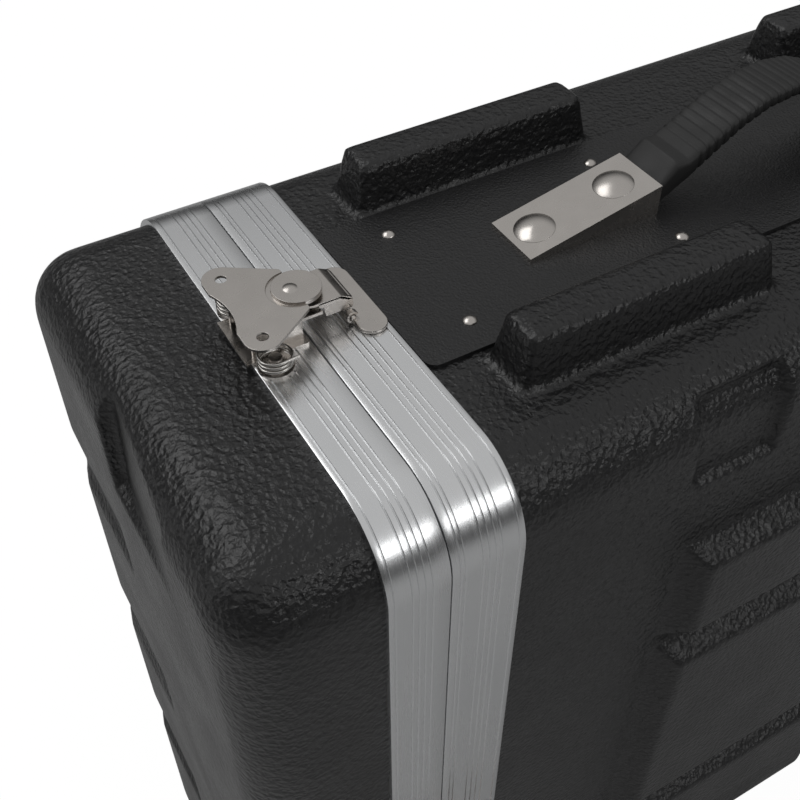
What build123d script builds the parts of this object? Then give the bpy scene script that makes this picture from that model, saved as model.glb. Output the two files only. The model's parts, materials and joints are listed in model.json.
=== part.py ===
from build123d import *
import math
import os

# Hard rack case with two lift-off lids, standing on the guard bars opposite its raised handle.
# Row frame: x front to back, y across the rack's units, z up. Millimetres.

# Metal bands where the lids meet the body
valance_across = 264.0
valance_tall = 580.0
valance_corner = 37.0
valance_skin = 3.0
valance_web = 10.0
valance_lip = 35.0
lid_valance_lip = 28.8
parting_gap = 0.4
tongue_thick = 2.0
tongue_clearance = 0.15
groove_depth = 6.0
gasket_thick = 1.2
ridge_width = 0.9
ridge_depth = 0.5
ridge_pitch = 3.15
ridge_count = 4
ridge_group_inset = 11.0
edge_line_inset = 3.0
centre_line_offsets = (4.0, 6.2)

# Moulded shells
body_half_length = 270.8
shell_wall = 5.0
lid_depth_past_parting = 94.0
lid_front_round = 28.0
lid_step_from_y = -62.0
lid_step_to_y = 12.0
lid_step_depth = 7.0
lid_step_drop = 66.0
lid_step_lean = 3.0
lid_notch_depth = 4.5
lid_notch_start_y = 30.0
lid_notches_at = ((152.0, 40.0, 8.0), (292.0, 34.0, 14.0), (432.0, 40.0, 8.0))
lid_face_thick = 13.0

# Guard bars on the two handle sides
guard_height = 23.0
guard_length = 140.0
guard_width = 30.0
guard_draft = 9.0
guard_round = 4.0
guard_centre_x = 138.0
guard_centre_y = 72.0

# Raised pads and corner pockets on the two broad sides
pad_height = 13.0
pad_half_length = 135.0
pad_draft = 40.0
pad_top_drop = 107.0
pad_short = 78.0
pad_gap = 10.0
pocket_near_x = 90.0
pocket_far_x = 140.0
pocket_top_drop = 12.0
pocket_bottom_drop = 62.0
pocket_depth = 5.0

# Handle plates and their rivets
plate_end_gap = 0.8
plate_half_width = 54.5
plate_thick = 2.0
plate_corner = 6.0
backing_half_length = 165.0
backing_half_width = 45.0
backing_thick = 2.0
plate_rivet_inner_x = 81.8
plate_rivet_outer_inset = 31.4
plate_rivet_row = 36.7
plate_rivet_head = 3.6
plate_rivet_dome = 1.8
plate_rivet_shank = 1.6
plate_rivet_tail = 2.6
plate_rivet_tail_thick = 1.0

# Handles
cap_mouth_x = 81.0
cap_length = 76.0
cap_half_width = 16.7
cap_mouth_height = 17.0
cap_low_height = 2.0
cap_sheet = 2.0
cap_rivet_pitch = 46.0
cap_rivet_inset = 16.5
cap_rivet_head = 10.5
cap_rivet_dome = 3.4
cap_rivet_shank = 4.0
strap_width = 22.0
strap_thick = 1.5
strap_end_x = 136.0
strap_slot_half = 4.3
strap_slot_reach = 22.0
strap_rest = 0.15
strap_bend = 12.0
strap_crest_x = 24.0
strap_crest_lift = 2.0
grip_half_width = 15.0
grip_end_gap = 0.5
grip_low = 2.2
grip_high = 14.4
grip_rise = 38.5
grip_thick = 8.0
grip_ramp_in = 8.4
grip_ramp_low = 5.1
grip_step_in = 10.6
grip_step_length = 7.0
grip_step_high = 23.9
grip_under_x = 32.0
grip_under_z = 30.4
grip_over_x = 36.5
grip_over_z = 37.5

# Rack rails, for a panel four units tall
rack_unit = 44.45
rack_units = 4
rack_hole_offsets = (6.35, 22.225, 38.1)
rack_hole_spacing = 465.1
rack_hole_radius = 2.5
rack_clear_opening = 450.0
rail_thick = 2.0
rail_leg = 30.0
rail_rivet_inset = 18.4
rail_half_length = 89.0

# Twist latches, in the latch's own frame: x from the band's lid edge, z above the band
latch_floor_thick = 1.5
latch_floor_back = 2.5
latch_floor_front = 27.0
latch_floor_half = 16.0
latch_rivet_x = 5.5
latch_rivet_y = 7.0
latch_rivet_head = 3.0
latch_rivet_dome = 1.3
latch_wall_half = 12.5
latch_wall_start = 2.0
latch_shelf_top = 12.5
latch_shelf_end = 36.0
pivot_x = 30.0
pivot_radius = 3.0
pivot_clearance = 0.05
eccentricity = 3.0
eccentric_radius = 7.0
wing_under = 18.0
wing_thick = 1.5
wing_lobe_x = 4.0
wing_lobe_y = 21.5
wing_lobe_radius = 8.5
wing_corner_x = 26.5
wing_corner_y = 13.5
wing_corner_radius = 2.8
wing_hollow_radius = 33.0
wing_hollow_reach = 1.2
wing_hole_radius = 2.6
wing_disc_radius = 11.2
wing_disc_thick = 0.8
wing_recess_radius = 12.6
wing_recess_shift = 0.9
wing_recess_depth = 1.0
crank_head_radius = 3.6
crank_head_dome = 1.0
link_top = 16.0
link_thick = 1.5
link_eye_radius = 10.5
link_half_width = 11.0
link_bend_x = 46.0
link_roll_x = 49.8
link_roll_z = 12.0
link_roll_radius = 2.0
link_flange_start = 38.0
link_flange_low = 7.4
keeper_plate_x = 57.0
keeper_plate_width = 14.0
keeper_plate_length = 50.0
keeper_thick = 2.0
keeper_pin_x = 49.6
keeper_pin_z = 4.4
keeper_pin_radius = 1.6
keeper_pin_half = 15.5
keeper_knuckle = 2.6
keeper_knuckle_from = 11.5
keeper_knuckle_to = 14.5
keeper_rivet_y = 17.0

# Latch springs
spring_x = 8.5
spring_y = 21.5
spring_radius = 7.4
spring_wire = 1.5
spring_pitch = 2.2
spring_half_turns = 5
spring_leg = 8.0
spring_seat = 0.15
spring_ear_radius = 8.2
spring_post_radius = 3.0
spring_post_top = 6.0

# Length by which a cutting box or rod passes right through a wall
cut_reach = 60.0

# Places worked out from the sizes above
half_across = valance_across / 2
band_low = guard_height
band_high = band_low + valance_tall
mid_height = (band_low + band_high) / 2
lid_parting_x = body_half_length + parting_gap
lid_edge_x = lid_parting_x + lid_valance_lip
lid_face_x = lid_parting_x + lid_depth_past_parting
body_web_x = body_half_length - valance_web
plate_half_length = body_half_length - valance_lip - plate_end_gap
plate_rivet_columns = (plate_rivet_inner_x, plate_half_length - plate_rivet_outer_inset)
rail_face_x = plate_rivet_columns[1] + rail_rivet_inset
lid_web_x = lid_parting_x + valance_web
shell_in = valance_skin + shell_wall
inner_half_across = half_across - shell_in
inner_half_tall = valance_tall / 2 - shell_in
plate_top = plate_thick - valance_skin
parts = {}


def prism(inset, start, end):
    """Rounded oblong set in from the band's outer face, between two x places."""
    section = RectangleRounded(valance_across - 2 * inset, valance_tall - 2 * inset, valance_corner - inset)
    return Pos(start, 0, mid_height) * extrude(Plane.YZ * section, end - start)


def ring(outer, inner, start, end):
    return prism(outer, start, end) - prism(inner, start - 1, end + 1)


def box_between(x0, x1, y0, y1, z0, z1):
    middle = Pos((x0 + x1) / 2, (y0 + y1) / 2, (z0 + z1) / 2)
    return middle * Box(x1 - x0, y1 - y0, z1 - z0)


def rod(radius, z0, z1, x=0.0, y=0.0):
    return Pos(x, y, (z0 + z1) / 2) * Cylinder(radius, z1 - z0)


def dome(radius, height, x=0.0, y=0.0, z=0.0):
    """Low round head standing on its flat side."""
    ball = (radius**2 + height**2) / (2 * height)
    head = Pos(0, 0, height - ball) * Sphere(ball)
    return Pos(x, y, z) * (head & rod(radius + 1, 0, height + 1))


def to_front(shape):
    return mirror(shape, Plane.YZ)


def at_end(shape, front):
    return to_front(shape) if front else shape


def group(shapes):
    solids = []
    for shape in shapes:
        solids += list(shape.solids())
    return Compound(children=solids)


# The four faces that carry latches, as turns about x, with the band's face height in each
faces = (
    ("top", 0, valance_tall / 2),
    ("near", 90, half_across),
    ("bottom", 180, valance_tall / 2),
    ("far", -90, half_across),
)


def latch_place(turn, reach, front):
    """Location of a latch's own frame on one face of the front or rear band."""
    spin = Rot(0, 0, 0) if front else Rot(0, 0, 180)
    edge = -lid_edge_x if front else lid_edge_x
    return Pos(edge, 0, mid_height) * Rot(turn, 0, 0) * Pos(0, 0, reach) * spin


def handle_place(top):
    """Location of a handle's own frame, with z out of the case from the band's outer face."""
    if top:
        return Pos(0, 0, band_high)
    return Pos(0, 0, band_low) * Rot(180, 0, 0)


# Bands with their pressed lines
def pressed_lines(places):
    lines = []
    for place in places:
        lines.append(ring(-1.0, ridge_depth, place - ridge_width / 2, place + ridge_width / 2))
    return lines


def body_valance():
    inner_edge = body_half_length - valance_lip
    band = ring(0, valance_skin, inner_edge, body_half_length)
    web = ring(valance_skin, shell_in, body_web_x, body_half_length)
    slot_out = valance_skin + (shell_wall - tongue_thick) / 2 - tongue_clearance
    slot_in = slot_out + tongue_thick + 2 * tongue_clearance
    slot = ring(slot_out, slot_in, body_half_length - groove_depth, body_half_length + 1)
    places = [inner_edge + edge_line_inset]
    places += [inner_edge + ridge_group_inset + i * ridge_pitch for i in range(ridge_count)]
    places += [body_half_length - offset for offset in centre_line_offsets]
    band = band + web - slot
    for line in pressed_lines(places):
        band = band - line
    return band


def lid_valance():
    band = ring(0, valance_skin, lid_parting_x, lid_edge_x)
    web = ring(valance_skin, shell_in, lid_parting_x, lid_web_x)
    tongue_out = valance_skin + (shell_wall - tongue_thick) / 2
    reach = groove_depth - gasket_thick - parting_gap
    tongue = ring(tongue_out, tongue_out + tongue_thick, lid_parting_x - reach, lid_parting_x + 0.5)
    places = [lid_edge_x - edge_line_inset]
    places += [lid_edge_x - ridge_group_inset - i * ridge_pitch for i in range(ridge_count)]
    band = band + web + tongue
    for line in pressed_lines(places):
        band = band - line
    return band


def gasket():
    slot_out = valance_skin + (shell_wall - tongue_thick) / 2
    start = body_half_length - groove_depth
    return ring(slot_out, slot_out + tongue_thick, start, start + gasket_thick)


# Body shell
def guard_bar(x, y):
    foot = Rectangle(guard_length, guard_width)
    bar = extrude(foot, guard_height + valance_skin, taper=guard_draft)
    rim = bar.edges().filter_by(Axis.Z, reverse=True).group_by(Axis.Z)[-1]
    slants = [edge for edge in bar.edges() if edge not in rim and edge.length > guard_height]
    uprights = [edge for edge in slants if abs(edge.tangent_at(0).Z) > 0.5]
    bar = fillet(uprights + list(rim), guard_round)
    return Pos(x, y, -valance_skin) * bar


def broad_side_pads():
    """Raised pads on the near side, as heights down from the band's top."""
    long_pad = valance_tall - 2 * (pad_top_drop + pad_short + pad_gap)
    spans = [(pad_top_drop, pad_short)]
    spans.append((pad_top_drop + pad_short + pad_gap, long_pad))
    spans.append((valance_tall - pad_top_drop - pad_short, pad_short))
    pads = []
    for drop, height in spans:
        foot = Rectangle(2 * pad_half_length, height)
        pad = extrude(foot, pad_height, taper=pad_draft)
        middle = band_high - drop - height / 2
        pads.append(Pos(0, -half_across + valance_skin, middle) * Rot(90, 0, 0) * pad)
    return pads


def corner_pockets():
    """Boxes that bound each pressed pocket beside a long edge, and the wider box of its floor."""
    tall = pocket_bottom_drop - pocket_top_drop
    length = pocket_far_x - pocket_near_x
    boxes = []
    for x_side in (-1, 1):
        for y_side in (-1, 1):
            for z_side in (-1, 1):
                x = x_side * (pocket_near_x + pocket_far_x) / 2
                z = mid_height + z_side * (valance_tall / 2 - pocket_top_drop - tall / 2)
                place = Pos(x, y_side * half_across, z)
                region = place * Box(length, cut_reach, tall)
                wider = place * Box(length + 2 * shell_wall, cut_reach, tall + 2 * shell_wall)
                boxes.append((region, wider))
    return boxes


def body_shell():
    shell = ring(valance_skin, shell_in, -body_web_x, body_web_x)
    for top in (True, False):
        for x in (-guard_centre_x, guard_centre_x):
            for y in (-guard_centre_y, guard_centre_y):
                shell = shell + handle_place(top) * guard_bar(x, y)
    for pad in broad_side_pads():
        shell = shell + pad + mirror(pad, Plane.XZ)
    for region, wider in corner_pockets():
        floor = wider & ring(shell_in - 0.5, shell_in + pocket_depth, -pocket_far_x * 2, pocket_far_x * 2)
        reach = 2 * pocket_far_x
        cut = region & ring(valance_skin - 2, valance_skin + pocket_depth, -reach, reach)
        shell = shell + floor - cut
    for x in plate_rivet_columns:
        for y in (-plate_rivet_row, plate_rivet_row):
            for side in (-1, 1):
                shell = shell - rod(plate_rivet_shank, -1, band_high + 2 * guard_height, side * x, y)
    for x in cap_rivet_places():
        for side in (-1, 1):
            shell = shell - rod(cap_rivet_shank, -1, band_high + 2 * guard_height, side * x, 0)
    return shell


# Lid shell
def lid_notches():
    """Wedges that slope into the lid's face and step back out below each drop."""
    cuts = []
    for drop, above, below in lid_notches_at:
        z = band_high - drop
        side = Polyline(
            (lid_face_x + 1, z + above),
            (lid_face_x, z + above),
            (lid_face_x - lid_notch_depth, z),
            (lid_face_x, z - below),
            (lid_face_x + 1, z - below),
            close=True,
        )
        wedge = extrude(make_face(Plane.XZ * side), half_across - lid_notch_start_y)
        cuts.append(Pos(0, half_across, 0) * wedge)
    return cuts


def lid_step():
    """Slice off the lid's upper front edge, deepest at one side and running out at the other."""
    low_z = band_high - valance_skin - lid_step_drop
    foot = Vector(lid_face_x, lid_step_from_y, low_z)
    along = Vector(-lid_step_depth, lid_step_to_y - lid_step_from_y, 0)
    up = Vector(-lid_step_lean, 0, lid_step_drop)
    slice_plane = Plane(origin=foot, x_dir=along, z_dir=along.cross(up))
    beyond = slice_plane * Pos(0, 0, cut_reach) * Box(4 * cut_reach, 4 * cut_reach, 2 * cut_reach)
    top_z = low_z + lid_step_drop
    front = lid_face_x + 1
    region = box_between(lid_web_x, front, lid_step_from_y, lid_step_to_y, low_z, top_z + 1)
    return region & beyond


def lid_shell():
    outer = prism(valance_skin, lid_web_x, lid_face_x)
    outer = fillet(outer.faces().sort_by(Axis.X)[-1].edges(), lid_front_round)
    hollow = prism(shell_in, lid_web_x - 1, lid_face_x - lid_face_thick)
    hollow = fillet(hollow.faces().sort_by(Axis.X)[-1].edges(), lid_front_round - lid_face_thick)
    lid = outer - hollow
    for cut in lid_notches():
        lid = lid - cut
    return lid - lid_step()


# Handles
def cap_rivet_places():
    high = cap_mouth_x + cap_rivet_inset
    return (high, high + cap_rivet_pitch)


def cap_slope():
    return (cap_mouth_height - cap_low_height) / cap_length


def cap_surface(x):
    """Height of the cap's sloping face above the band's outer face."""
    return plate_top + cap_low_height + (cap_mouth_x + cap_length - x) * cap_slope()


def handle_cap():
    far_x = cap_mouth_x + cap_length
    side = Polyline(
        (cap_mouth_x, plate_top),
        (far_x, plate_top),
        (far_x, plate_top + cap_low_height),
        (cap_mouth_x, plate_top + cap_mouth_height),
        close=True,
    )
    wedge = Pos(0, cap_half_width, 0) * extrude(make_face(Plane.XZ * side), 2 * cap_half_width)
    tip = far_x - (cap_sheet + 0.2 - cap_low_height) / cap_slope() - 8
    hollow_side = Polyline(
        (cap_mouth_x - 1, plate_top - 1),
        (tip, plate_top - 1),
        (tip, cap_surface(tip) - cap_sheet),
        (cap_mouth_x - 1, cap_surface(cap_mouth_x - 1) - cap_sheet),
        close=True,
    )
    inner_half = cap_half_width - cap_sheet
    hollow = Pos(0, inner_half, 0) * extrude(make_face(Plane.XZ * hollow_side), 2 * inner_half)
    cap = wedge - hollow
    for x in cap_rivet_places():
        cap = cap - rod(cap_rivet_shank, -5, cap_mouth_height + 5, x, 0)
    return cap


def cap_rivets():
    tilt = math.degrees(math.atan(cap_slope()))
    rivets = []
    for x in cap_rivet_places():
        head = Pos(x, 0, cap_surface(x)) * Rot(0, tilt, 0) * dome(cap_rivet_head, cap_rivet_dome)
        low = -shell_in - backing_thick
        shank = rod(cap_rivet_shank, low, cap_surface(x) + 1, x, 0)
        tail = rod(cap_rivet_shank + 2.5, low - 1.5, low, x, 0)
        rivets.append(shank + head + tail)
    return rivets


def strap_line(raised):
    """Points of the steel strap's centre line from its end in one cap to the grip's crest."""
    flat = plate_top + strap_thick / 2 + strap_rest
    mouth = (grip_low + grip_high) / 2
    if raised:
        crest = grip_rise + strap_crest_lift
        rise = [(cap_mouth_x - strap_bend, mouth + strap_bend * 2 / 3), (strap_crest_x, crest)]
    else:
        rise = [(cap_mouth_x - strap_bend / 3, mouth)]
    return [(strap_end_x, flat), (cap_mouth_x + strap_bend, flat)] + rise


def strap(raised):
    half = strap_line(raised)
    points = [(x, 0, z) for x, z in half] + [(-x, 0, z) for x, z in reversed(half)]
    path = FilletPolyline(*points, radius=strap_bend)
    section = Plane(origin=path @ 0, z_dir=path % 0, x_dir=(0, 1, 0)) * Rectangle(strap_width, strap_thick)
    band = sweep(section, path=path)
    near = cap_rivet_places()[0]
    far = near + strap_slot_reach
    slot = box_between(near, far, -strap_slot_half, strap_slot_half, -valance_skin, cap_mouth_height)
    for x in (near, far):
        slot = slot + rod(strap_slot_half, -valance_skin, cap_mouth_height, x, 0)
    return band - slot - mirror(slot, Plane.YZ)


def grip_profile(raised):
    """Side outline of the rubber grip in x and z, from mouth to mouth."""
    end = cap_mouth_x - grip_end_gap
    ramp = cap_mouth_x - grip_ramp_in
    step = cap_mouth_x - grip_step_in
    step_in = step - grip_step_length
    if raised:
        under = [(end, grip_low), (ramp, grip_ramp_low), (grip_under_x, grip_under_z)]
        over = [(grip_over_x, grip_over_z), (step_in, grip_step_high - 0.1)]
        over += [(step, grip_step_high), (end, grip_high)]
        crest_low = grip_rise
    else:
        crest_low = (grip_low + grip_high - grip_thick) / 2
        under = [(end, grip_low), (ramp, grip_low), (grip_under_x, crest_low)]
        over = [(step_in, crest_low + grip_thick), (step, grip_high), (end, grip_high)]
    mirrored_under = [(-x, z) for x, z in reversed(under)]
    mirrored_over = [(-x, z) for x, z in reversed(over)]
    if raised:
        bottom = ThreePointArc(under[-1], (0, crest_low), mirrored_under[0])
        top = ThreePointArc(mirrored_over[-1], (0, crest_low + grip_thick), over[0])
    else:
        bottom = Line(under[-1], mirrored_under[0])
        top = Line(mirrored_over[-1], over[0])
    mouths = [Line(mirrored_under[-1], mirrored_over[0]), Line(over[-1], under[0])]
    runs = [Polyline(*points) for points in (under, mirrored_under, mirrored_over, over)]
    return make_face(Curve() + runs + mouths + [bottom, top])


def grip(raised):
    side = Plane.XZ * grip_profile(raised)
    body = Pos(0, grip_half_width, 0) * extrude(side, 2 * grip_half_width)
    return body - strap(raised)


def handle_plate():
    plate = extrude(RectangleRounded(2 * plate_half_length, 2 * plate_half_width, plate_corner), plate_thick)
    plate = Pos(0, 0, -valance_skin) * plate
    for x in plate_rivet_columns:
        for y in (-plate_rivet_row, plate_rivet_row):
            for side in (-1, 1):
                plate = plate - rod(plate_rivet_shank, -8, 5, side * x, y)
    for x in cap_rivet_places():
        for side in (-1, 1):
            plate = plate - rod(cap_rivet_shank, -8, 5, side * x, 0)
    return plate


def backing_plate():
    plate = extrude(Rectangle(2 * backing_half_length, 2 * backing_half_width), -backing_thick)
    plate = Pos(0, 0, -shell_in) * plate
    for y in (-plate_rivet_row, plate_rivet_row):
        for side in (-1, 1):
            plate = plate - rod(plate_rivet_shank, -cut_reach, 0, side * plate_rivet_columns[0], y)
    for x in cap_rivet_places():
        for side in (-1, 1):
            plate = plate - rod(cap_rivet_shank, -cut_reach, 0, side * x, 0)
    return plate


def plate_rivets():
    rivets = []
    grip_end = -shell_in - backing_thick
    for x in plate_rivet_columns:
        for y in (-plate_rivet_row, plate_rivet_row):
            for side in (-1, 1):
                shank = rod(plate_rivet_shank, grip_end, plate_top + 0.5, side * x, y)
                head = dome(plate_rivet_head, plate_rivet_dome, side * x, y, plate_top)
                tail = rod(plate_rivet_tail, grip_end - plate_rivet_tail_thick, grip_end, side * x, y)
                rivets.append(shank + head + tail)
    return rivets


# Rack rails
def rack_hole_places():
    low = -rack_unit * rack_units / 2
    return [low + unit * rack_unit + offset for unit in range(rack_units) for offset in rack_hole_offsets]


def rack_rail():
    """Angle on the upper wall at the rear end, in the row frame about the middle height."""
    half_open = rack_clear_opening / 2
    face = box_between(
        rail_face_x - rail_thick, rail_face_x, -rail_half_length, rail_half_length, half_open, inner_half_tall
    )
    leg = box_between(
        rail_face_x - rail_leg,
        rail_face_x,
        -rail_half_length,
        rail_half_length,
        inner_half_tall - rail_thick,
        inner_half_tall,
    )
    rail = face + leg
    for y in rack_hole_places():
        place = Pos(rail_face_x, y, rack_hole_spacing / 2) * Rot(0, 90, 0)
        hole = place * Cylinder(rack_hole_radius, 4 * rail_thick)
        rail = rail - hole
    for y in (-plate_rivet_row, plate_rivet_row):
        low, high = inner_half_tall - 2 * rail_thick, inner_half_tall + 1
        rail = rail - rod(plate_rivet_shank, low, high, plate_rivet_columns[1], y)
    return Pos(0, 0, mid_height) * rail


# Latches
def latch_base():
    floor = box_between(
        -latch_floor_back, latch_floor_front, -latch_floor_half, latch_floor_half, 0, latch_floor_thick
    )
    base = floor
    for side in (-1, 1):
        base = base + rod(spring_ear_radius, 0, latch_floor_thick, spring_x, side * spring_y)
        base = base + rod(spring_post_radius, 0, spring_post_top, spring_x, side * spring_y)
        wall = latch_wall_half - latch_floor_thick / 2
        base = base + box_between(
            latch_wall_start,
            latch_floor_front - 1,
            side * wall - latch_floor_thick / 2,
            side * wall + latch_floor_thick / 2,
            latch_floor_thick - 0.5,
            latch_shelf_top,
        )
    base = base + box_between(
        latch_wall_start,
        latch_shelf_end,
        -latch_wall_half,
        latch_wall_half,
        latch_shelf_top - latch_floor_thick,
        latch_shelf_top,
    )
    base = base + rod(pivot_radius, latch_shelf_top - 0.5, wing_under - 0.2, pivot_x, 0)
    for side in (-1, 1):
        base = base - rod(plate_rivet_shank, -1, 3, latch_rivet_x, side * latch_rivet_y)
    return base


def latch_rivet_pair(x, y, sheet):
    """Blind rivets that hold a latch plate to the band's skin."""
    rivets = []
    for side in (-1, 1):
        shank = rod(plate_rivet_shank, -valance_skin, sheet + 0.4, x, side * y)
        rivets.append(shank + dome(latch_rivet_head, latch_rivet_dome, x, side * y, sheet))
    return rivets


def wing():
    lobes = [Pos(wing_lobe_x, side * wing_lobe_y) * Circle(wing_lobe_radius) for side in (-1, 1)]
    corners = [Pos(wing_corner_x, side * wing_corner_y) * Circle(wing_corner_radius) for side in (-1, 1)]
    edges = []
    for shape in lobes + corners:
        edges += list(shape.edges())
    outline = make_hull(edges)
    hollow = Pos(-wing_hollow_radius - wing_hollow_reach, 0) * Circle(wing_hollow_radius)
    outline = outline - hollow
    for side in (-1, 1):
        outline = outline - Pos(wing_lobe_x, side * wing_lobe_y) * Circle(wing_hole_radius)
    plate = Pos(0, 0, wing_under) * extrude(outline, wing_thick)
    plate_face = wing_under + wing_thick
    recess_x = pivot_x - wing_recess_shift
    plate = plate - rod(wing_recess_radius, plate_face - wing_recess_depth, plate_face + 1, recess_x, 0)
    eccentric_x = pivot_x - eccentricity
    boss = rod(eccentric_radius, latch_shelf_top + 0.3, wing_under + 0.5, eccentric_x, 0)
    disc = rod(wing_disc_radius, wing_under, wing_under + wing_thick + wing_disc_thick, pivot_x, 0)
    bore = rod(pivot_radius + pivot_clearance, latch_shelf_top, wing_under - 0.1, pivot_x, 0)
    head_z = wing_under + wing_thick + wing_disc_thick
    head = dome(crank_head_radius, crank_head_dome, eccentric_x, 0, head_z - 0.001)
    return plate + disc + boss - bore + head


def link():
    eccentric_x = pivot_x - eccentricity
    low = link_top - link_thick
    arm = box_between(eccentric_x, link_bend_x, -link_half_width, link_half_width, low, link_top)
    eye = rod(link_eye_radius, low, link_top, eccentric_x, 0)
    body = eye + arm
    fall = Polyline(
        (link_bend_x - link_thick, link_top),
        (link_bend_x, link_top),
        (link_roll_x + link_roll_radius, link_roll_z),
        (link_roll_x, link_roll_z - link_roll_radius),
        (link_bend_x - link_thick, low),
        close=True,
    )
    apron = Pos(0, link_half_width, 0) * extrude(make_face(Plane.XZ * fall), 2 * link_half_width)
    body = body + apron
    for side in (-1, 1):
        y0, y1 = sorted((side * (link_half_width - link_thick), side * link_half_width))
        end = link_roll_x + link_roll_radius
        body = body + box_between(link_flange_start, end, y0, y1, link_flange_low, link_roll_z)
        body = body + box_between(link_flange_start, link_bend_x, y0, y1, link_flange_low, link_top - 0.5)
    hole = rod(eccentric_radius + pivot_clearance, low - 1, link_top + 1, eccentric_x, 0)
    return body - hole


def keeper():
    plate = Pos(keeper_plate_x, 0) * SlotOverall(keeper_plate_length, keeper_plate_width, rotation=90)
    body = extrude(plate, keeper_thick)
    body = body + box_between(
        keeper_pin_x - keeper_knuckle, keeper_plate_x, -keeper_knuckle_to, keeper_knuckle_to, 0, keeper_thick
    )
    pin_place = Pos(keeper_pin_x, 0, keeper_pin_z) * Rot(90, 0, 0)
    pin = pin_place * Cylinder(keeper_pin_radius, 2 * keeper_pin_half)
    for side in (-1, 1):
        middle = side * (keeper_knuckle_from + keeper_knuckle_to) / 2
        width = keeper_knuckle_to - keeper_knuckle_from
        knuckle = Pos(keeper_pin_x, middle, keeper_pin_z) * Rot(90, 0, 0) * Cylinder(keeper_knuckle, width)
        foot = Pos(keeper_pin_x, middle, keeper_pin_z / 2) * Box(2 * keeper_knuckle, width, keeper_pin_z)
        body = body + knuckle + foot
    body = body + pin
    for side in (-1, 1):
        body = body - rod(plate_rivet_shank, -1, keeper_thick + 1, keeper_plate_x, side * keeper_rivet_y)
    return body


# Latch springs
def spring_point(angle):
    rise = spring_pitch * angle / (2 * math.pi)
    return Vector(spring_radius * math.cos(angle), spring_radius * math.sin(angle), rise)


def spring_tangent(angle):
    slope = spring_pitch / (2 * math.pi)
    direction = Vector(-spring_radius * math.sin(angle), spring_radius * math.cos(angle), slope)
    return direction.normalized()


def biarc(start, start_dir, end, end_dir):
    """Two arcs that leave start and reach end along the given directions."""
    span = end - start
    both = start_dir + end_dir
    spread = 2 * (1 - start_dir.dot(end_dir))
    reach = span.dot(both)
    length = (math.sqrt(reach**2 + spread * span.dot(span)) - reach) / spread
    joint = (start + end + (start_dir - end_dir) * length) * 0.5
    joint_dir = (end - end_dir * length - start - start_dir * length).normalized()
    return [TangentArc(start, joint, tangent=start_dir), TangentArc(joint, end, tangent=joint_dir)]


def spring():
    first = math.pi / 2
    base = spring_point(first).Z
    angles = [first + math.pi * i for i in range(spring_half_turns + 1)]
    dip = spring_leg * spring_tangent(first).Z
    lift = Vector(0, 0, latch_floor_thick + spring_wire / 2 + spring_seat + dip - base)
    points = [spring_point(angle) + lift for angle in angles]
    tangents = [spring_tangent(angle) for angle in angles]
    edges = [Line(points[0] - tangents[0] * spring_leg, points[0])]
    for i in range(spring_half_turns):
        edges += biarc(points[i], tangents[i], points[i + 1], tangents[i + 1])
    edges.append(Line(points[-1], points[-1] + tangents[-1] * spring_leg))
    path = Wire(edges)
    section = Plane(origin=path @ 0, z_dir=path % 0) * Circle(spring_wire / 2)
    return sweep(section, path=path), path


def least_gap(path):
    """Least distance between the spring's own turns, less the wire."""
    count = 300
    points = [path @ (i / count) for i in range(count + 1)]
    apart = int(count / spring_half_turns)
    least = min(
        (points[i] - points[j]).length for i in range(count + 1) for j in range(i + apart, count + 1)
    )
    return least - spring_wire


def springs():
    coil, path = spring()
    print("least gap in a latch spring", round(least_gap(path), 3))
    near = Pos(spring_x, -spring_y, 0) * coil
    return [near, mirror(near, Plane.XZ)]


# Assembly
def drill_band(band, x_places, front):
    """Rivet holes for the latch plates through the band's skin."""
    for _, turn, reach in faces:
        place = latch_place(turn, reach, front)
        for x, y in x_places:
            for side in (-1, 1):
                band = band - place * rod(plate_rivet_shank, -valance_skin, 2, x, side * y)
    return band


body_band = body_valance()
lid_band = lid_valance()
lid_cover = lid_shell()
seal = gasket()
parts["body_shell"] = body_shell()
for front in (True, False):
    end = "front" if front else "rear"
    keeper_holes = [(keeper_plate_x, keeper_rivet_y)]
    base_holes = [(latch_rivet_x, latch_rivet_y)]
    parts[end + "_body_valance"] = drill_band(at_end(body_band, front), keeper_holes, front)
    parts[end + "_gasket"] = at_end(seal, front)
    parts[end + "_lid_valance"] = drill_band(at_end(lid_band, front), base_holes, front)
    parts[end + "_lid_shell"] = at_end(lid_cover, front)
    places = [(name, latch_place(turn, reach, front)) for name, turn, reach in faces]
    base = latch_base()
    keep = keeper()
    coils = springs()
    base_rivets = latch_rivet_pair(latch_rivet_x, latch_rivet_y, latch_floor_thick)
    keep_rivets = [rod(plate_rivet_shank, -valance_skin, keeper_thick, keeper_plate_x, side * keeper_rivet_y)
                   for side in (-1, 1)]
    parts[end + "_latch_bases"] = group([place * base for _, place in places])
    parts[end + "_latch_springs"] = group([place * coil for _, place in places for coil in coils])
    parts[end + "_latch_base_rivets"] = group([place * rivet for _, place in places for rivet in base_rivets])
    parts[end + "_keepers"] = group([place * keep for _, place in places])
    parts[end + "_keeper_rivets"] = group([place * rivet for _, place in places for rivet in keep_rivets])
    for name, place in places:
        parts[f"{end}_{name}_latch_wing"] = place * wing()
        parts[f"{end}_{name}_latch_link"] = place * link()

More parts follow.
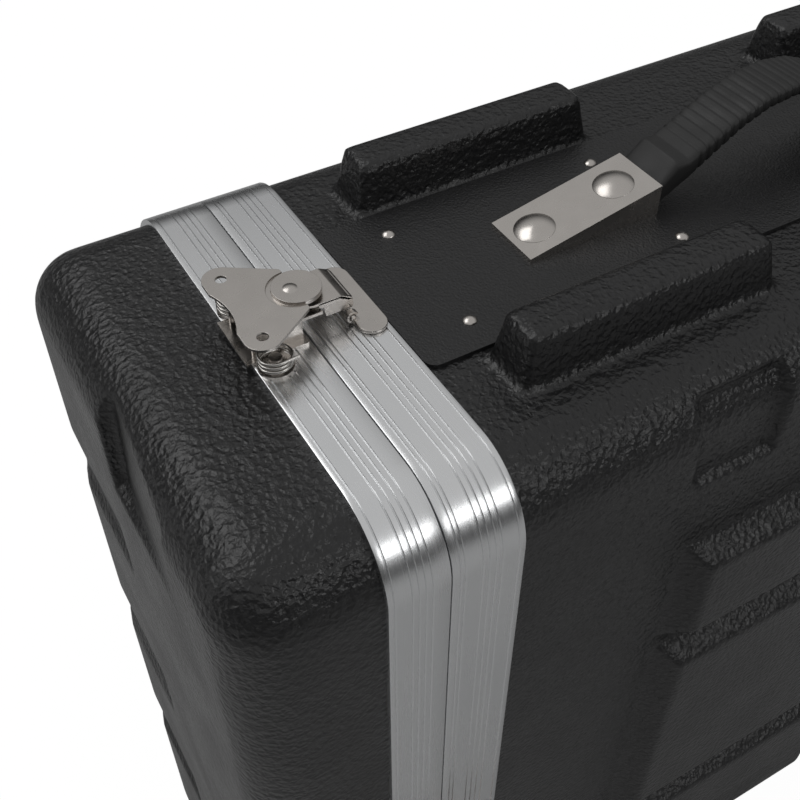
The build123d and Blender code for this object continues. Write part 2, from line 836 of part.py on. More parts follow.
rail = rack_rail()
for top in (True, False):
    side = "top" if top else "bottom"
    place = handle_place(top)
    parts[side + "_handle_plate"] = place * handle_plate()
    parts[side + "_backing_plate"] = place * backing_plate()
    parts[side + "_plate_rivets"] = group([place * rivet for rivet in plate_rivets()])
    parts[side + "_handle_grip"] = place * grip(top)
    parts[side + "_handle_strap"] = place * strap(top)
    cap = place * handle_cap()
    rivets = [place * rivet for rivet in cap_rivets()]
    parts[side + "_rear_handle_cap"] = cap
    parts[side + "_front_handle_cap"] = to_front(cap)
    parts[side + "_cap_rivets"] = group(rivets + [to_front(rivet) for rivet in rivets])
    upper = rail if top else mirror(rail, Plane(origin=(0, 0, mid_height), z_dir=(0, 0, 1)))
    parts[f"rear_{side}_rack_rail"] = upper
    parts[f"front_{side}_rack_rail"] = to_front(upper)

os.makedirs("parts", exist_ok=True)
for name, shape in parts.items():
    export_step(shape, f"parts/{name}.step")
print(len(parts), "nodes")
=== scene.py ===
import json
import math

import bmesh
import bpy
import numpy as np
from mathutils import Matrix, Vector

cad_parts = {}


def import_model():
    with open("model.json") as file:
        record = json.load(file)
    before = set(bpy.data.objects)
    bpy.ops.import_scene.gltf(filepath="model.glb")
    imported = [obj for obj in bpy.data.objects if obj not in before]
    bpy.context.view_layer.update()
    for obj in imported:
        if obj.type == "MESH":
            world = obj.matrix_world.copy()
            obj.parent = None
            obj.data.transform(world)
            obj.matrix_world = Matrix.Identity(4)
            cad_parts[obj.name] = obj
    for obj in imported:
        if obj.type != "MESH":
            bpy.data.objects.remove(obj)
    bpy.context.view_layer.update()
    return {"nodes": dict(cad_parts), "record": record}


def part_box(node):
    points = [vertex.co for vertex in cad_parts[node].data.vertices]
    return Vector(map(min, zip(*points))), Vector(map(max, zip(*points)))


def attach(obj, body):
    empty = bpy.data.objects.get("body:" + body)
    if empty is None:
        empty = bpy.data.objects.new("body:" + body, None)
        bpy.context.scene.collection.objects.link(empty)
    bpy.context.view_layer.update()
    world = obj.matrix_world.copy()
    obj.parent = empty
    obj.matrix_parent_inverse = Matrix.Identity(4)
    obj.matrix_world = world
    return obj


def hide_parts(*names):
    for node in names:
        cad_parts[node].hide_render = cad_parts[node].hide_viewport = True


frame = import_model()
MM = 0.001

# Places read from the frame
record = frame["record"]
slot_of = {part["node"]: part["material_slot"] for part in record["subparts"]}
body_of_node = {node: body for body, nodes in record["behaviour"]["bodies"].items() for node in nodes}
band_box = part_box("front_body_valance")
lid_band_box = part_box("front_lid_valance")
HALF_ACROSS = band_box[1][1]
BAND_LOW, BAND_HIGH = band_box[0][2], band_box[1][2]
MID_HEIGHT = (BAND_LOW + BAND_HIGH) / 2
BAND_EDGE = -lid_band_box[0][0]
PARTING = -band_box[0][0]
BAND_INNER = -band_box[1][0]
BAND_CORNER = 37 * MM

# Camera, solved from the photograph: angles in degrees, and its place past the lid band's top edge
CAMERA_AZIMUTH, CAMERA_ELEVATION, CAMERA_ROLL = -29.85, 45.29, 0.33
CAMERA_PAST_EDGE, CAMERA_Y, CAMERA_ABOVE_BAND = 116.55 * MM, -344.81 * MM, 325.79 * MM
CAMERA_LENS, CAMERA_SENSOR = 50, 36


def place_camera():
    azimuth, elevation = math.radians(CAMERA_AZIMUTH), math.radians(CAMERA_ELEVATION)
    roll = math.radians(CAMERA_ROLL)
    flat = math.cos(elevation)
    back = Vector((math.sin(azimuth) * flat, -math.cos(azimuth) * flat, math.sin(elevation)))
    right = (-back).cross(Vector((0, 0, 1))).normalized()
    down = (-back).cross(right)
    turned = right * math.cos(roll) + down * math.sin(roll)
    sunk = down * math.cos(roll) - right * math.sin(roll)
    camera_data = bpy.data.cameras.new("camera")
    camera_data.lens = CAMERA_LENS
    camera_data.sensor_width = CAMERA_SENSOR
    camera_data.clip_start = 0.01
    camera = bpy.data.objects.new("camera", camera_data)
    bpy.context.scene.collection.objects.link(camera)
    axes = Matrix((turned, -sunk, back)).transposed().to_4x4()
    place = Vector((-BAND_EDGE - CAMERA_PAST_EDGE, CAMERA_Y, BAND_HIGH + CAMERA_ABOVE_BAND))
    camera.matrix_world = Matrix.Translation(place) @ axes
    bpy.context.scene.camera = camera


# Materials
class Nodes:
    """Short names for building one node material."""

    def __init__(self, name, color, roughness, metallic=0.0):
        self.material = bpy.data.materials.new(name)
        self.material.use_nodes = True
        self.tree = self.material.node_tree
        self.shader = self.tree.nodes["Principled BSDF"]
        self.shader.inputs["Base Color"].default_value = (*color, 1)
        self.shader.inputs["Roughness"].default_value = roughness
        self.shader.inputs["Metallic"].default_value = metallic
        self.place = self.add("ShaderNodeTexCoord").outputs["Object"]

    def add(self, kind, **settings):
        node = self.tree.nodes.new(kind)
        for key, value in settings.items():
            if key in node.inputs:
                node.inputs[key].default_value = value
            else:
                setattr(node, key, value)
        return node

    def link(self, source, target):
        self.tree.links.new(source, target)

    def noise(self, scale, detail=2.0, vector=None, rough=0.5, distortion=0.0):
        node = self.add(
            "ShaderNodeTexNoise", Scale=scale, Detail=detail, Roughness=rough, Distortion=distortion
        )
        self.link(vector or self.place, node.inputs["Vector"])
        return node.outputs["Fac"]

    def cells(self, scale, vector=None, smooth=0.6):
        node = self.add("ShaderNodeTexVoronoi", feature="SMOOTH_F1", Scale=scale)
        node.inputs["Smoothness"].default_value = smooth
        self.link(vector or self.place, node.inputs["Vector"])
        return node.outputs["Distance"]

    def math(self, operation, first, second):
        node = self.add("ShaderNodeMath", operation=operation)
        for socket, value in zip(node.inputs, (first, second)):
            if isinstance(value, (int, float)):
                socket.default_value = value
            else:
                self.link(value, socket)
        return node.outputs[0]

    def spread(self, value, low, high, to_low, to_high):
        node = self.add("ShaderNodeMapRange")
        limits = {"From Min": low, "From Max": high, "To Min": to_low, "To Max": to_high}
        for name, number in limits.items():
            node.inputs[name].default_value = number
        self.link(value, node.inputs["Value"])
        return node.outputs[0]

    def mix_colors(self, fac, first, second):
        node = self.add("ShaderNodeMix", data_type="RGBA")
        colors = {"A": (*first, 1), "B": (*second, 1)}
        for socket in node.inputs:
            if socket.type == "RGBA":
                socket.default_value = colors[socket.name]
        self.link(fac, node.inputs[0])
        return [out for out in node.outputs if out.type == "RGBA"][0]

    def stretch(self, factors):
        node = self.add("ShaderNodeMapping")
        node.inputs["Scale"].default_value = factors
        self.link(self.place, node.inputs["Vector"])
        return node.outputs[0]

    def warp(self, scale, amount):
        """Places pushed about by noise, so that cells lose their regular look."""
        noise = self.add("ShaderNodeTexNoise", Scale=scale, Detail=2.0)
        self.link(self.place, noise.inputs["Vector"])
        move = self.add("ShaderNodeVectorMath", operation="SCALE")
        self.link(noise.outputs["Color"], move.inputs[0])
        move.inputs["Scale"].default_value = amount
        total = self.add("ShaderNodeVectorMath", operation="ADD")
        self.link(self.place, total.inputs[0])
        self.link(move.outputs[0], total.inputs[1])
        return total.outputs[0]

    def wear(self, height, distance, strength):
        """Give the surface this relief."""
        node = self.add("ShaderNodeBump", Strength=strength, Distance=distance)
        self.link(height, node.inputs["Height"])
        self.link(node.outputs[0], self.shader.inputs["Normal"])

    def vary(self, name, socket):
        self.link(socket, self.shader.inputs[name])


def leather_plastic():
    m = Nodes("moulded_shell", (0.0085, 0.0085, 0.009), 0.42)
    warped = m.warp(210, 0.0045)
    wrinkles = m.cells(330, warped, 0.35)
    folds = m.noise(430, 3, m.warp(120, 0.003), 0.55, 0.6)
    fine = m.noise(1700, 2)
    height = m.math("ADD", m.math("MULTIPLY", wrinkles, 1.1), m.math("MULTIPLY", folds, 0.8))
    height = m.math("ADD", height, m.math("MULTIPLY", fine, 0.06))
    m.wear(height, 0.00105, 0.6)
    m.vary("Roughness", m.spread(m.noise(24, 3), 0.3, 0.7, 0.28, 0.37))
    m.vary("Base Color", m.mix_colors(m.noise(7, 2), (0.0075, 0.0075, 0.008), (0.011, 0.011, 0.0115)))
    return m.material


def pebbled_plate():
    m = Nodes("handle_plate", (0.012, 0.012, 0.0125), 0.4)
    pebbles = m.cells(780, m.warp(500, 0.0012), 0.4)
    height = m.math("ADD", pebbles, m.math("MULTIPLY", m.noise(1900, 2), 0.35))
    m.wear(height, 0.00045, 0.6)
    m.vary("Roughness", m.spread(m.noise(60, 3), 0.3, 0.7, 0.34, 0.46))
    return m.material


def satin_aluminium():
    m = Nodes("band_aluminium", (0.74, 0.75, 0.76), 0.3, 1.0)
    drawn = m.noise(900, 3, m.stretch((1, 0.02, 0.02)))
    cloudy = m.noise(14, 2)
    total = m.math("ADD", m.math("MULTIPLY", drawn, 0.12), m.math("MULTIPLY", cloudy, 0.06))
    m.vary("Roughness", m.math("ADD", total, 0.17))
    m.wear(m.noise(2600, 2), 0.00004, 0.5)
    m.vary("Base Color", m.mix_colors(cloudy, (0.7, 0.71, 0.72), (0.78, 0.785, 0.79)))
    return m.material


def nickel(name, color, low, high):
    m = Nodes(name, color, low, 1.0)
    haze = m.noise(120, 4)
    m.vary("Roughness", m.spread(haze, 0.3, 0.7, low, high))
    m.wear(m.noise(420, 3), 0.00003, 0.4)
    darker = tuple(channel * 0.86 for channel in color)
    m.vary("Base Color", m.mix_colors(m.noise(90, 3), darker, color))
    return m.material


def rubber(name, color, roughness):
    m = Nodes(name, color, roughness)
    m.wear(m.noise(1700, 3), 0.00012, 0.5)
    m.vary("Roughness", m.spread(m.noise(60, 3), 0.3, 0.7, roughness - 0.06, roughness + 0.08))
    return m.material


def black_steel():
    m = Nodes("black_steel", (0.02, 0.02, 0.02), 0.45)
    m.wear(m.cells(1400), 0.0001, 0.5)
    m.vary("Roughness", m.spread(m.noise(40, 3), 0.3, 0.7, 0.4, 0.52))
    return m.material


materials = {
    "moulded_shell": leather_plastic(),
    "handle_plate": pebbled_plate(),
    "band_aluminium": satin_aluminium(),
    "nickel_steel": nickel("nickel_steel", (0.56, 0.53, 0.5), 0.2, 0.32),
    "spring_steel": nickel("spring_steel", (0.62, 0.6, 0.57), 0.16, 0.26),
    "grip_rubber": rubber("grip_rubber", (0.012, 0.012, 0.012), 0.55),
    "gasket_rubber": rubber("gasket_rubber", (0.02, 0.02, 0.02), 0.7),
    "black_steel": black_steel(),
}


# Meshes
MERGE_DISTANCE = 2e-6
FLAT_ANGLE = 0.1
BEVEL_ANGLE = 35
BEVEL_SLACK = 5e-5


def new_object(name, mesh, slot):
    obj = bpy.data.objects.new(name, mesh)
    bpy.context.scene.collection.objects.link(obj)
    mesh.materials.clear()
    mesh.materials.append(materials[slot])
    return obj


def closed_mesh(name, points, faces):
    """Mesh with its faces turned outward."""
    mesh = bpy.data.meshes.new(name)
    mesh.from_pydata([tuple(point) for point in points], [], faces)
    work = bmesh.new()
    work.from_mesh(mesh)
    bmesh.ops.recalc_face_normals(work, faces=work.faces)
    work.to_mesh(mesh)
    work.free()
    return mesh


def shade(mesh, angle=32):
    """Smooth faces with a sharp edge wherever two faces meet at more than the angle."""
    work = bmesh.new()
    work.from_mesh(mesh)
    limit = math.radians(angle)
    for face in work.faces:
        face.smooth = True
    for edge in work.edges:
        edge.smooth = len(edge.link_faces) == 2 and edge.calc_face_angle(0) < limit
    work.to_mesh(mesh)
    work.free()


def apply_modifiers(obj):
    depsgraph = bpy.context.evaluated_depsgraph_get()
    mesh = bpy.data.meshes.new_from_object(
        obj.evaluated_get(depsgraph), preserve_all_data_layers=True, depsgraph=depsgraph
    )
    obj.modifiers.clear()
    old = obj.data
    obj.data = mesh
    bpy.data.meshes.remove(old)


def even_normals(obj):
    """Flat faces keep their own normals, so that the rounding shades only the edges."""
    weighted = obj.modifiers.new("even", "WEIGHTED_NORMAL")
    weighted.keep_sharp = True
    weighted.weight = 50
    apply_modifiers(obj)


def copy_of(node, name):
    """Cleaned copy of a CAD node's mesh, with flat faces joined up again."""
    mesh = frame["nodes"][node].data.copy()
    work = bmesh.new()
    work.from_mesh(mesh)
    bmesh.ops.remove_doubles(work, verts=work.verts, dist=MERGE_DISTANCE)
    bmesh.ops.dissolve_limit(
        work, angle_limit=math.radians(FLAT_ANGLE), verts=work.verts, edges=work.edges, delimit=set()
    )
    work.to_mesh(mesh)
    work.free()
    return new_object(name, mesh, slot_of[node])


def place_piece(obj, node):
    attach(obj, body_of_node[node])
    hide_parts(node)


def reach_of(mesh):
    points = np.empty(len(mesh.vertices) * 3)
    mesh.vertices.foreach_get("co", points)
    points = points.reshape(-1, 3)
    return points.min(axis=0), points.max(axis=0)


def dress(node, width, segments=2):
    """Piece that stands for a node, with its sharp edges rounded where that works cleanly."""
    obj = copy_of(node, node + ".dressed")
    if width:
        plain = obj.data.copy()
        low, high = reach_of(plain)
        bevel = obj.modifiers.new("round", "BEVEL")
        bevel.width = width
        bevel.segments = segments
        bevel.limit_method = "ANGLE"
        bevel.angle_limit = math.radians(BEVEL_ANGLE)
        bevel.use_clamp_overlap = True
        apply_modifiers(obj)
        new_low, new_high = reach_of(obj.data)
        if (new_low < low - BEVEL_SLACK).any() or (new_high > high + BEVEL_SLACK).any():
            obj.data = plain
    shade(obj.data)
    even_normals(obj)
    place_piece(obj, node)


def moulded(node, voxel, softness, kept):
    """Thick moulded shell with softened edges, from a node's solid."""
    mesh = frame["nodes"][node].data.copy()
    obj = new_object(node + ".moulded", mesh, slot_of[node])
    remesh = obj.modifiers.new("remesh", "REMESH")
    remesh.mode = "VOXEL"
    remesh.voxel_size = voxel
    smooth = obj.modifiers.new("smooth", "SMOOTH")
    smooth.factor = 0.5
    smooth.iterations = softness
    fewer = obj.modifiers.new("fewer", "DECIMATE")
    fewer.ratio = kept
    apply_modifiers(obj)
    for polygon in obj.data.polygons:
        polygon.use_smooth = True
    place_piece(obj, node)


# Bands, swept round the case as one pressed section; insets are from the outer face
BAND_SKIN = 3.0
SHELL_IN = 8.0
WEB = 10.0
PARTING_GAP = 0.4
SLOT_OUT, SLOT_IN, SLOT_DEEP = 4.35, 6.65, 6.0
TONGUE_OUT, TONGUE_IN, TONGUE_LONG = 4.5, 6.5, 4.4
EDGE_LINE = 3.0
RIDGE_INSET = 11.0
RIDGE_PITCH = 3.15
RIDGES = 4
PARTING_LINES = (4.0, 6.2)
LINE_DEPTH = 0.36
LINE_HALF = 0.46
BAND_ROUND = 0.45
SHARP_LINE_ANGLE = 24


def oblong_path(steps=14):
    """Corner centres and unit directions round the rounded oblong, near side first."""
    half_y = HALF_ACROSS - BAND_CORNER
    half_z = (BAND_HIGH - BAND_LOW) / 2 - BAND_CORNER
    out = []
    for corner, (sy, sz) in enumerate(((-1, 1), (-1, -1), (1, -1), (1, 1))):
        start = math.pi / 2 + corner * math.pi / 2
        for i in range(steps + 1):
            angle = start + i / steps * math.pi / 2
            out.append((sy * half_y, MID_HEIGHT + sz * half_z, math.cos(angle), math.sin(angle)))
    return out


def sweep_band(name, profile, sign, node):
    """Closed section of (distance from the middle, inset) points, carried round the case."""
    path = oblong_path()
    rows = len(path)
    count = len(profile)
    points = []
    for y, z, dy, dz in path:
        for distance, inset in profile:
            reach = BAND_CORNER - inset * MM
            points.append((sign * distance * MM, y + dy * reach, z + dz * reach))
    faces = []
    for i in range(rows):
        for j in range(count):
            a, b = i * count + j, i * count + (j + 1) % count
            c, d = ((i + 1) % rows) * count + (j + 1) % count, ((i + 1) % rows) * count + j
            faces.append((a, b, c, d))
    obj = new_object(name, closed_mesh(name, points, faces), "band_aluminium")
    shade(obj.data, SHARP_LINE_ANGLE)
    place_piece(obj, node)


def pressed(start, end, lines):
    """Outer side of a band's section from start to end, with V lines pressed in."""
    step = 1 if end > start else -1
    turn, flat = step * BAND_ROUND, step * LINE_HALF
    out = [(start, BAND_ROUND), (start + turn * 0.3, BAND_ROUND * 0.3), (start + turn, 0)]
    for line in sorted(lines, key=lambda value: step * value):
        out += [
            (line - flat, 0.0),
            (line - flat * 0.2, LINE_DEPTH),
            (line + flat * 0.2, LINE_DEPTH),
            (line + flat, 0.0),
        ]
    out += [(end - turn, 0), (end - turn * 0.3, BAND_ROUND * 0.3), (end, BAND_ROUND)]
    return out


def bands():
    edge, parting, inner = BAND_EDGE / MM, PARTING / MM, BAND_INNER / MM
    ridges = [RIDGE_INSET + i * RIDGE_PITCH for i in range(RIDGES)]
    lid_lines = [edge - inset for inset in [EDGE_LINE] + ridges]
    body_lines = [inner + inset for inset in [EDGE_LINE] + ridges]
    body_lines += [parting - inset for inset in PARTING_LINES]
    slot_end = parting - SLOT_DEEP
    seam = parting + PARTING_GAP
    tongue_end = seam - TONGUE_LONG
    body_profile = pressed(inner, parting, body_lines)
    body_profile += [(parting, SLOT_OUT), (slot_end, SLOT_OUT), (slot_end, SLOT_IN), (parting, SLOT_IN)]
    body_web = parting - WEB
    body_profile += [(parting, SHELL_IN), (body_web, SHELL_IN), (body_web, BAND_SKIN), (inner, BAND_SKIN)]
    lid_profile = pressed(edge, seam, lid_lines)
    lid_profile += [(seam, TONGUE_OUT), (tongue_end, TONGUE_OUT), (tongue_end, TONGUE_IN), (seam, TONGUE_IN)]
    lid_web = seam + WEB
    lid_profile += [(seam, SHELL_IN), (lid_web, SHELL_IN), (lid_web, BAND_SKIN), (edge, BAND_SKIN)]
    for end, sign in (("front", -1), ("rear", 1)):
        sweep_band(end + "_body_band", body_profile, sign, end + "_body_valance")
        sweep_band(end + "_lid_band", lid_profile, sign, end + "_lid_valance")


# Handle grips, a rounded rubber section carried over the arch, with cross grooves.
# Heights above the band, under and over the grip, at distances from its middle
RAISED_UNDER = ((0, 38.5), (16, 36.6), (32, 30.4), (72.6, 5.1), (80.5, 2.2))
RAISED_OVER = ((0, 46.5), (18, 44.4), (36.5, 37.5), (63.4, 23.8), (70.4, 23.9), (80.5, 14.4))
FLAT_UNDER = ((0, 4.3), (32, 4.3), (72.6, 2.2), (80.5, 2.2))
FLAT_OVER = ((0, 12.3), (63.4, 12.3), (70.4, 14.4), (80.5, 14.4))
GRIP_REACH = 80.3
GRIP_HALF_WIDTH = 15.0
GRIP_SKIN = 0.15
GRIP_STATIONS = 361
GRIP_AROUND = 28
GRIP_SIDE_POWER, GRIP_TOP_POWER = 0.32, 0.45
GROOVE_PITCH = 4.6
GROOVE_SHARE = 0.24
GROOVE_DEPTH = 1.1
GROOVE_REACH = 58.0
GRIP_SHARP_ANGLE = 50


def groove(x):
    """Depth of the cross grooves at a distance along the grip."""
    if abs(x) >= GROOVE_REACH:
        return 0.0
    notch = max(0.0, 1 - abs((x / GROOVE_PITCH) % 1.0 - 0.5) / GROOVE_SHARE)
    return GROOVE_DEPTH * min(1.0, notch * 1.6)


def grip(side, raised):
    under, over = (RAISED_UNDER, RAISED_OVER) if raised else (FLAT_UNDER, FLAT_OVER)
    base, up = (BAND_HIGH, 1) if side == "top" else (BAND_LOW, -1)
    points = []
    for x in np.linspace(-GRIP_REACH, GRIP_REACH, GRIP_STATIONS):
        low = np.interp(abs(x), *zip(*under)) + GRIP_SKIN
        high = np.interp(abs(x), *zip(*over)) - GRIP_SKIN
        cut = groove(x)
        half, thick = GRIP_HALF_WIDTH - cut * 0.6, (high - low) / 2 - cut * 0.5
        for k in range(GRIP_AROUND):
            angle = 2 * math.pi * k / GRIP_AROUND
            c, s = math.cos(angle), math.sin(angle)
            y = half * math.copysign(abs(c) ** GRIP_SIDE_POWER, c)
            z = (high + low) / 2 + thick * math.copysign(abs(s) ** GRIP_TOP_POWER, s)
            points.append((x * MM, up * y * MM, base + up * z * MM))
    faces = []
    last = (GRIP_STATIONS - 1) * GRIP_AROUND
    for row in range(0, last, GRIP_AROUND):
        for k in range(GRIP_AROUND):
            a, b = row + k, row + (k + 1) % GRIP_AROUND
            faces.append((a, b, b + GRIP_AROUND, a + GRIP_AROUND))
    faces.append(tuple(range(GRIP_AROUND - 1, -1, -1)))
    faces.append(tuple(range(last, last + GRIP_AROUND)))
    obj = new_object(side + "_grip", closed_mesh(side + "_grip", points, faces), "grip_rubber")
    shade(obj.data, GRIP_SHARP_ANGLE)
    place_piece(obj, side + "_handle_grip")


# Latches, in the latch's own frame: x from the band's lid edge, z above the band, in millimetres
HALF_TALL = (BAND_HIGH - BAND_LOW) / 2
FACES = {
    "top": (0, HALF_TALL),
    "near": (90, HALF_ACROSS),
    "bottom": (180, HALF_TALL),
    "far": (-90, HALF_ACROSS),
}
PLATE_X, PLATE_HALF, PLATE_END_Y, PLATE_THICK = 57.0, 7.0, 18.0, 2.0
PIN_X, PIN_Z, PIN_RADIUS, PIN_HALF = 49.6, 4.4, 1.6, 15.5
KNUCKLE_FROM, KNUCKLE_TO, KNUCKLE_OUT, KNUCKLE_IN = 11.5, 14.5, 3.0, 1.75
EYE_X, EYE_RADIUS = 27.0, 10.5
ARM_START, ARM_END, ARM_HALF, ARM_LOW, ARM_TOP = 33.0, 45.8, 11.0, 14.5, 16.0
ARM_WALL = 1.3
ROLL_X, ROLL_Z, ROLL_RADIUS = 49.8, 12.0, 2.0
ARM_SHARP_ANGLE = 40


def latch_place(end, face):
    turn, reach = FACES[face]
    edge = -BAND_EDGE if end == "front" else BAND_EDGE
    place = Matrix.Translation((edge, 0, MID_HEIGHT)) @ Matrix.Rotation(math.radians(turn), 4, "X")
    place = place @ Matrix.Translation((0, 0, reach))
    if end == "rear":
        place = place @ Matrix.Rotation(math.pi, 4, "Z")
    return place @ Matrix.Scale(MM, 4)


def arc(x, y, radius, start, end, steps=12):
    angles = [math.radians(start + (end - start) * i / steps) for i in range(steps + 1)]
    return [(x + radius * math.cos(angle), y + radius * math.sin(angle)) for angle in angles]


class Work:
    """One piece's mesh, made up of prisms and round rods with rounded edges."""

    def __init__(self):
        self.mesh = bmesh.new()

    def prism(self, outline, low, high, rounding, upright=True):
        """Outline in x and y carried up z, or in x and z carried along y."""
        base, cap = [
            [self.mesh.verts.new((a, b, level) if upright else (a, level, b)) for a, b in outline]
            for level in (low, high)
        ]
        faces = [self.mesh.faces.new(base), self.mesh.faces.new(cap)]
        count = len(outline)
        for i in range(count):
            j = (i + 1) % count
            faces.append(self.mesh.faces.new((base[i], base[j], cap[j], cap[i])))
        bmesh.ops.recalc_face_normals(self.mesh, faces=faces)
        bmesh.ops.bevel(
            self.mesh,
            geom=list(faces[0].edges) + list(faces[1].edges),
            offset=rounding,
            segments=2,
            profile=0.5,
            affect="EDGES",
            clamp_overlap=True,
        )

    def rod(self, x, z, radius, y_from, y_to, steps=20):
        """Round rod along y with domed ends."""
        bulge = radius * 0.6
        rows = [(y_from, 0.0), (y_from + bulge * 0.3, 0.72), (y_from + bulge, 1.0)]
        rows += [(y_to - bulge, 1.0), (y_to - bulge * 0.3, 0.72), (y_to, 0.0)]
        turns = [2 * math.pi * k / steps for k in range(steps)]
        rings = []
        for y, share in rows:
            wide = radius * share
            around = turns if share else turns[:1]
            rings.append([
                self.mesh.verts.new((x + wide * math.cos(turn), y, z + wide * math.sin(turn)))
                for turn in around
            ])
        faces = []
        for first, second in zip(rings, rings[1:]):
            for k in range(steps):
                j = (k + 1) % steps
                if len(first) == 1:
                    faces.append(self.mesh.faces.new((first[0], second[k], second[j])))
                elif len(second) == 1:
                    faces.append(self.mesh.faces.new((first[k], first[j], second[0])))
                else:
                    faces.append(self.mesh.faces.new((first[k], first[j], second[j], second[k])))
        bmesh.ops.recalc_face_normals(self.mesh, faces=faces)

    def finish(self, name, places, node):
        """Set the mesh down at each place, as one piece that stands for the node."""
        mesh = bpy.data.meshes.new(name)
        whole = bmesh.new()
        for place in places:
            part = self.mesh.copy()
            part.transform(place)
            temp = bpy.data.meshes.new("temp")
            part.to_mesh(temp)
            part.free()
            whole.from_mesh(temp)
            bpy.data.meshes.remove(temp)
        whole.to_mesh(mesh)
        whole.free()
        obj = new_object(name, mesh, "nickel_steel")
        shade(mesh, ARM_SHARP_ANGLE)
        even_normals(obj)
        place_piece(obj, node)


def keeper_work():
    work = Work()
    outline = []
    for end_y, start in ((PLATE_END_Y, 0), (-PLATE_END_Y, 180)):
        outline += arc(PLATE_X, end_y, PLATE_HALF, start, start + 180)
    work.prism(outline, 0.02, PLATE_THICK, 0.5)
    bridge = [(PIN_X, -KNUCKLE_TO), (55, -KNUCKLE_TO), (55, KNUCKLE_TO), (PIN_X, KNUCKLE_TO)]
    work.prism(bridge, 0.05, 1.9, 0.3)
    curl = arc(PIN_X, PIN_Z, KNUCKLE_OUT, -80, -330, 18) + arc(PIN_X, PIN_Z, KNUCKLE_IN, -330, -80, 18)
    foot = [(50.2, 0.4), (53.5, 0.4), (53.5, 1.9), (51.4, 2.4), (50.2, 2.4)]
    for side in (-1, 1):
        low, high = sorted((side * KNUCKLE_FROM, side * KNUCKLE_TO))
        work.prism(curl, low, high, 0.2, upright=False)
        work.prism(foot, low, high, 0.2, upright=False)
    work.rod(PIN_X, PIN_Z, PIN_RADIUS, -PIN_HALF, PIN_HALF)
    return work


def link_work():
    work = Work()
    arm = arc(EYE_X, 0, EYE_RADIUS, 75, 285, 24)
    arm += [(ARM_START, -ARM_HALF), (ARM_END, -ARM_HALF), (ARM_END, ARM_HALF), (ARM_START, ARM_HALF)]
    work.prism(arm, ARM_LOW, ARM_TOP, 0.3)
    apron = [(45.0, 14.6), (45.6, 15.9), (46.3, 15.8), (51.0, 13.4), (51.6, 12.0), (49.6, 12.0)]
    work.prism(apron, -ARM_HALF, ARM_HALF, 0.2, upright=False)
    wall = [(34.8, 15.8), (46.2, 15.8), (51.4, 12.6), (51.7, 11.5), (51.7, 8.2), (50.9, 7.4)]
    wall += [(38.4, 7.4), (37.2, 12.7), (35.2, 13.4)]
    for side in (-1, 1):
        low, high = sorted((side * (ARM_HALF - ARM_WALL), side * ARM_HALF))
        work.prism(wall, low, high, 0.25, upright=False)
    work.rod(ROLL_X, ROLL_Z, ROLL_RADIUS, -ARM_HALF, ARM_HALF)
    return work


# Room
FLOOR_COLOR = (0.5, 0.5, 0.5, 1)
FLOOR_HALF = 6
FLOOR_DROP = 0.5 * MM
WHITE_SHARE, WHITE_STRENGTH = 0.9, 1.08
SKY = {"From Min": 0.1, "From Max": 0.75, "To Min": 0.06, "To Max": 0.7}
AIM = (-0.2, 0, 0.5)


def room():
    floor_mesh = bpy.data.meshes.new("floor")
    work = bmesh.new()
    bmesh.ops.create_grid(work, x_segments=8, y_segments=8, size=FLOOR_HALF)
    work.to_mesh(floor_mesh)
    work.free()
    floor = bpy.data.objects.new("floor", floor_mesh)
    bpy.context.scene.collection.objects.link(floor)
    floor.location = (0, 0, -FLOOR_DROP)
    material = bpy.data.materials.new("floor")
    material.use_nodes = True
    tree = material.node_tree
    shader = tree.nodes["Principled BSDF"]
    shader.inputs["Base Color"].default_value = FLOOR_COLOR
    shader.inputs["Roughness"].default_value = 0.9
    path = tree.nodes.new("ShaderNodeLightPath")
    glow = tree.nodes.new("ShaderNodeEmission")
    glow.inputs["Strength"].default_value = WHITE_STRENGTH
    mix = tree.nodes.new("ShaderNodeMixShader")
    share = tree.nodes.new("ShaderNodeMath")
    share.operation = "MULTIPLY"
    share.inputs[1].default_value = WHITE_SHARE
    tree.links.new(path.outputs["Is Camera Ray"], share.inputs[0])
    tree.links.new(share.outputs[0], mix.inputs[0])
    tree.links.new(shader.outputs[0], mix.inputs[1])
    tree.links.new(glow.outputs[0], mix.inputs[2])
    tree.links.new(mix.outputs[0], tree.nodes["Material Output"].inputs["Surface"])
    floor_mesh.materials.append(material)


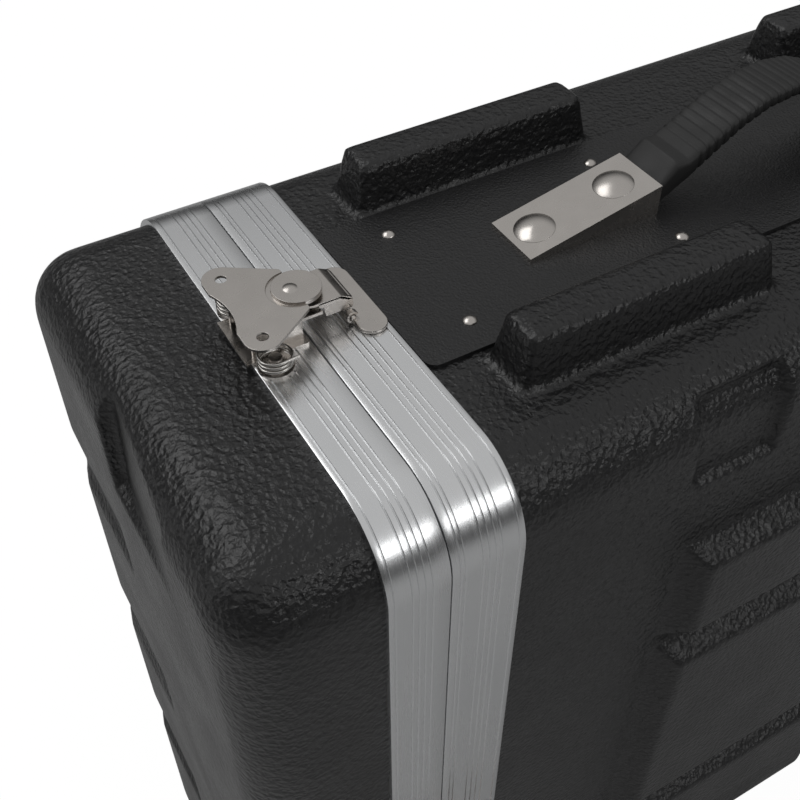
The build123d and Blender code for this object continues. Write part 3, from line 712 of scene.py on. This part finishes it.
def world():
    sky = bpy.context.scene.world or bpy.data.worlds.new("world")
    bpy.context.scene.world = sky
    sky.use_nodes = True
    tree = sky.node_tree
    tree.nodes.clear()
    out = tree.nodes.new("ShaderNodeOutputWorld")
    room_light = tree.nodes.new("ShaderNodeBackground")
    direction = tree.nodes.new("ShaderNodeTexCoord")
    axes = tree.nodes.new("ShaderNodeSeparateXYZ")
    height = tree.nodes.new("ShaderNodeMapRange")
    for name, value in SKY.items():
        height.inputs[name].default_value = value
    height.interpolation_type = "SMOOTHSTEP"
    tree.links.new(direction.outputs["Generated"], axes.inputs[0])
    tree.links.new(axes.outputs["Z"], height.inputs["Value"])
    tree.links.new(height.outputs[0], room_light.inputs["Strength"])
    white = tree.nodes.new("ShaderNodeBackground")
    white.inputs["Color"].default_value = (1, 1, 1, 1)
    mix = tree.nodes.new("ShaderNodeMixShader")
    path = tree.nodes.new("ShaderNodeLightPath")
    tree.links.new(path.outputs["Is Camera Ray"], mix.inputs[0])
    tree.links.new(room_light.outputs[0], mix.inputs[1])
    tree.links.new(white.outputs[0], mix.inputs[2])
    tree.links.new(mix.outputs[0], out.inputs[0])


def lamp(name, place, size, power):
    data = bpy.data.lights.new(name, "AREA")
    data.shape = "RECTANGLE"
    data.size, data.size_y = size
    data.energy = power
    obj = bpy.data.objects.new(name, data)
    bpy.context.scene.collection.objects.link(obj)
    obj.location = place
    obj.rotation_euler = (Vector(AIM) - Vector(place)).to_track_quat("-Z", "Y").to_euler()


# Build
place_camera()
bpy.context.scene.view_settings.view_transform = "Standard"
world()
room()
lamp("key", (-1.1, 0.9, 2.3), (1.6, 1.2), 11)
lamp("side", (-2.2, 0.5, 1.1), (0.5, 1.4), 2.5)
lamp("near", (0.7, -2.3, 1.9), (1.4, 0.6), 8)

bands()
for end in ("front", "rear"):
    moulded(end + "_lid_shell", 2.4 * MM, softness=4, kept=0.5)
moulded("body_shell", 2.2 * MM, softness=2, kept=0.35)
for side in ("top", "bottom"):
    grip(side, side == "top")
    dress(side + "_handle_plate", 0.5 * MM)
    dress(side + "_backing_plate", 0.3 * MM)
    dress(side + "_plate_rivets", 0.25 * MM)
    dress(side + "_cap_rivets", 0.4 * MM)
    dress(side + "_handle_strap", 0)
    for end in ("front", "rear"):
        dress(f"{side}_{end}_handle_cap", 0.7 * MM, 3)
        dress(f"{end}_{side}_rack_rail", 0.3 * MM)
for end in ("front", "rear"):
    keepers = [latch_place(end, face) for face in FACES]
    keeper_work().finish(end + "_keeper_hooks", keepers, end + "_keepers")
    for node, width in (("latch_bases", 0.25), ("latch_base_rivets", 0.25), ("keeper_rivets", 0)):
        dress(f"{end}_{node}", width * MM)
    dress(end + "_latch_springs", 0)
    dress(end + "_gasket", 0)
    for face in FACES:
        latch = f"{end}_{face}"
        dress(latch + "_latch_wing", 0.35 * MM)
        link_work().finish(latch + "_link_arm", [latch_place(end, face)], latch + "_latch_link")
